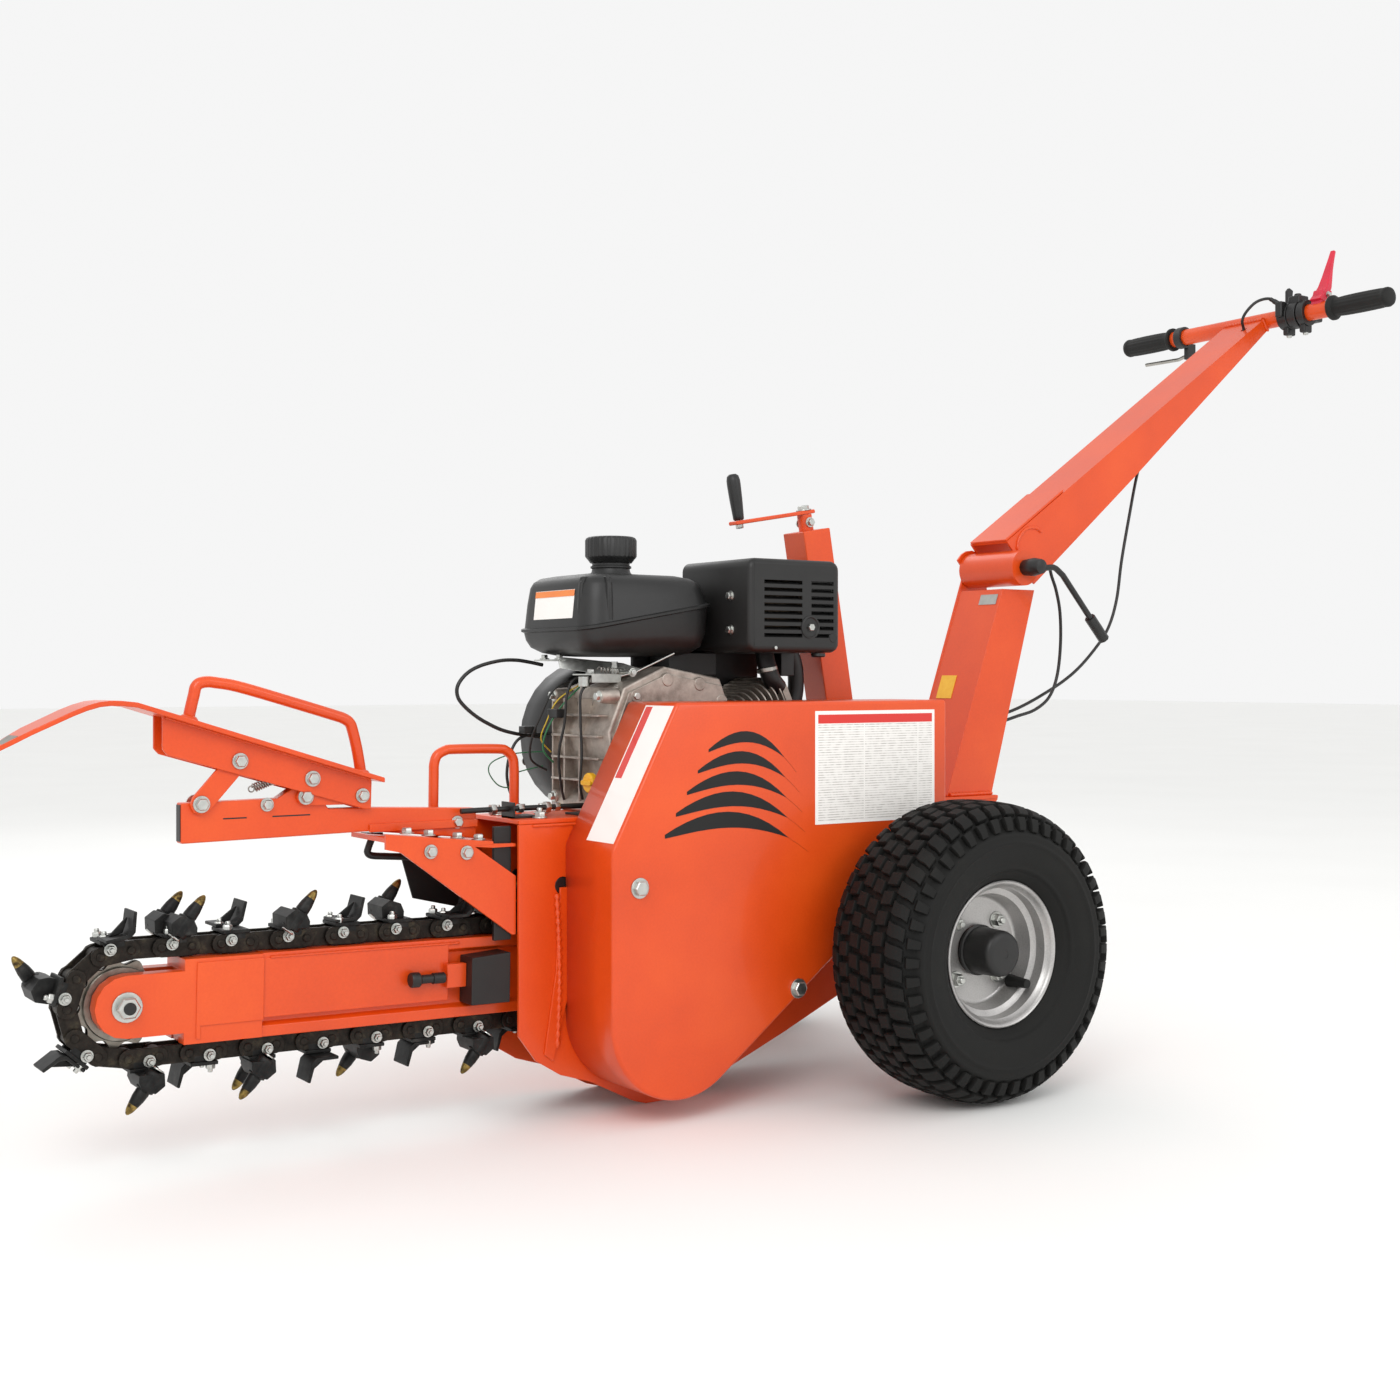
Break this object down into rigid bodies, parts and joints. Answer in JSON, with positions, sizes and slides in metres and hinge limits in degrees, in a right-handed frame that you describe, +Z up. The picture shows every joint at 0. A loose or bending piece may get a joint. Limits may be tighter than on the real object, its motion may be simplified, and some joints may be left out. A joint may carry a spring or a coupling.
{
  "type": "walk-behind trencher",
  "caption": "Walk-behind trencher: petrol engine, digging chain on a boom, folding crumber, screw-jacked axle with turf wheels and a folding T-handle.",
  "frame": {"origin": "middle of the outline on the ground, without the control cable", "axes": "+X from the digging boom to the handlebar, +Y from the belt guard to the starter side, +Z up"},
  "size_m": [2.202, 0.736, 1.322],
  "materials": {
    "orange": "powder-coated orange, satin",
    "zinc": "bright zinc plate",
    "black_steel": "black paint, satin",
    "black_plastic": "moulded black plastic",
    "red_plastic": "moulded red plastic",
    "yellow_plastic": "moulded yellow plastic",
    "rubber": "black moulded rubber",
    "tyre": "black tyre rubber",
    "silver": "silver paint",
    "chain_steel": "dark oiled steel",
    "bare_steel": "bare machined steel",
    "cast_alloy": "as-cast alloy"
  },
  "bodies": {
    "frame": {"side_plate_near": "orange", "side_plate_far": "orange", "engine_deck": "orange", "belt_guard": "orange", "guard_bolt": "zinc", "handle_column": "orange", "jack_post": "orange", "boom_bar": "orange", "boom_nose": "orange", "nose_bolt": "zinc", "tension_bolt": "black_steel", "boom_mount": "black_steel", "digging_chain": "chain_steel", "drive_belt": "rubber", "head_bearing": "cast_alloy", "crankcase": "cast_alloy", "blower_housing": "black_plastic", "cylinder_head": "cast_alloy", "fuel_tank": "black_plastic", "muffler_guard": "black_steel", "muffler": "bare_steel", "air_cleaner": "black_plastic", "crumber_arm": "orange", "arm_brace": "orange", "soil_shield": "black_steel", "tie_loop": "orange", "throttle_cable": "rubber", "clutch_cable": "rubber", "engine_cable": "rubber", "crumber_spring": "bare_steel"},
    "crank": {"jack_screw": "orange", "crank_arm": "orange"},
    "crank_grip_body": {"crank_grip": "black_plastic"},
    "axle": {"axle_carriage": "orange"},
    "wheel_near": {"tyre_near": "tyre", "rim_near": "silver"},
    "wheel_far": {"tyre_far": "tyre", "rim_far": "silver"},
    "head_drive": {"head_shaft": "bare_steel", "drive_sprocket": "bare_steel", "driven_pulley": "bare_steel"},
    "nose_wheel": {"nose_sprocket": "bare_steel"},
    "engine_drive": {"engine_shaft": "bare_steel", "engine_pulley": "bare_steel"},
    "handle": {"handle_arm": "orange", "crossbar": "orange", "grip_far": "rubber", "grip_near": "rubber", "control_perch": "black_plastic"},
    "clamp": {"clamp_lever": "black_steel"},
    "clutch": {"clutch_lever": "red_plastic"},
    "throttle": {"throttle_lever": "black_plastic"},
    "brake": {"brake_lever": "bare_steel"},
    "link_front": {"front_link": "orange"},
    "link_rear": {"rear_link": "orange"},
    "crumber": {"crumber_blade": "orange", "crumber_handle": "orange"},
    "cap": {"fuel_cap": "black_plastic"},
    "oil_cap": {"oil_filler": "yellow_plastic"},
    "starter": {"starter_grip": "black_plastic"}
  },
  "joints": [
    {"name": "axle_lift", "type": "slide", "parent": "frame", "child": "axle", "axis": [0.1719, 0, -0.9851], "range_m": [0, 0.1]},
    {"name": "crank_turn", "type": "hinge", "parent": "frame", "child": "crank", "pos_m": [0.04, 0, 0.79], "axis": [-0.1719, 0, 0.9851], "range_deg": [0, 3600]},
    {"name": "crank_grip_spin", "type": "hinge", "parent": "crank", "child": "crank_grip_body", "pos_m": [-0.08342, 0, 0.79922], "axis": [-0.1719, 0, 0.9851], "continuous": true},
    {"name": "wheel_near_spin", "type": "hinge", "parent": "axle", "child": "wheel_near", "pos_m": [0.102, -0.288, 0.203], "axis": [0, 1, 0], "continuous": true},
    {"name": "wheel_far_spin", "type": "hinge", "parent": "axle", "child": "wheel_far", "pos_m": [0.102, 0.288, 0.203], "axis": [0, 1, 0], "continuous": true},
    {"name": "head_spin", "type": "hinge", "parent": "frame", "child": "head_drive", "pos_m": [-0.3166, 0, 0.186], "axis": [0, 1, 0], "continuous": true},
    {"name": "nose_spin", "type": "hinge", "parent": "frame", "child": "nose_wheel", "pos_m": [-0.966, 0, 0.198], "axis": [0, 1, 0], "continuous": true},
    {"name": "engine_spin", "type": "hinge", "parent": "frame", "child": "engine_drive", "pos_m": [-0.233, 0, 0.492], "axis": [0, 1, 0], "continuous": true},
    {"name": "handle_fold", "type": "hinge", "parent": "frame", "child": "handle", "pos_m": [0.416, 0, 0.745], "axis": [0, 1, 0], "range_deg": [-25, 90], "deforming": ["throttle_cable", "clutch_cable"]},
    {"name": "clamp_turn", "type": "hinge", "parent": "frame", "child": "clamp", "pos_m": [0.416, -0.105, 0.745], "axis": [0, 1, 0], "range_deg": [-180, 90]},
    {"name": "clutch_squeeze", "type": "hinge", "parent": "handle", "child": "clutch", "pos_m": [1.059, -0.146, 1.212], "axis": [0, 1, 0], "range_deg": [0, 35], "stiffness_Nm_per_rad": 2, "springref_deg": -8.59},
    {"name": "throttle_turn", "type": "hinge", "parent": "handle", "child": "throttle", "pos_m": [1.079, -0.068, 1.234], "axis": [0, 1, 0], "range_deg": [-25, 25]},
    {"name": "brake_squeeze", "type": "hinge", "parent": "handle", "child": "brake", "pos_m": [1.079, 0.158, 1.182], "axis": [1, 0, 0], "range_deg": [0, 7], "stiffness_Nm_per_rad": 2, "springref_deg": -8.59},
    {"name": "link_front_swing", "type": "hinge", "parent": "frame", "child": "link_front", "pos_m": [-0.874, 0, 0.424], "axis": [0, -1, 0], "range_deg": [0, 100], "deforming": ["crumber_spring"]},
    {"name": "crumber_swing", "type": "hinge", "parent": "link_front", "child": "crumber", "pos_m": [-0.829, 0, 0.474], "axis": [0, -1, 0], "range_deg": [-71, 0]},
    {"name": "link_rear_swing", "type": "hinge", "parent": "frame", "child": "link_rear", "pos_m": [-0.745, 0, 0.428], "axis": [0, -1, 0], "range_deg": [0, 120]},
    {"name": "fuel_cap_turn", "type": "hinge", "parent": "frame", "child": "cap", "pos_m": [-0.278, 0.035, 0.7155], "axis": [0, 0, 1], "range_deg": [0, 90]},
    {"name": "oil_filler_turn", "type": "hinge", "parent": "frame", "child": "oil_cap", "pos_m": [-0.3325, -0.03, 0.432], "axis": [-1, 0, 0], "range_deg": [0, 720]},
    {"name": "starter_pull", "type": "slide", "parent": "frame", "child": "starter", "axis": [0, 1, 0], "range_m": [0, 0.6], "stiffness_N_per_m": 15, "springref_m": -0.4}
  ],
  "couplings": [
    {"joint": "crank_turn", "follows": "axle_lift", "rad_per_m": 628.32},
    {"joint": "nose_spin", "follows": "head_spin", "ratio": 1},
    {"joint": "engine_spin", "follows": "head_spin", "ratio": 2.2286},
    {"joint": "crumber_swing", "follows": "link_front_swing", "ratio": -0.7},
    {"joint": "link_rear_swing", "follows": "link_front_swing", "ratio": 1.15}
  ]
}
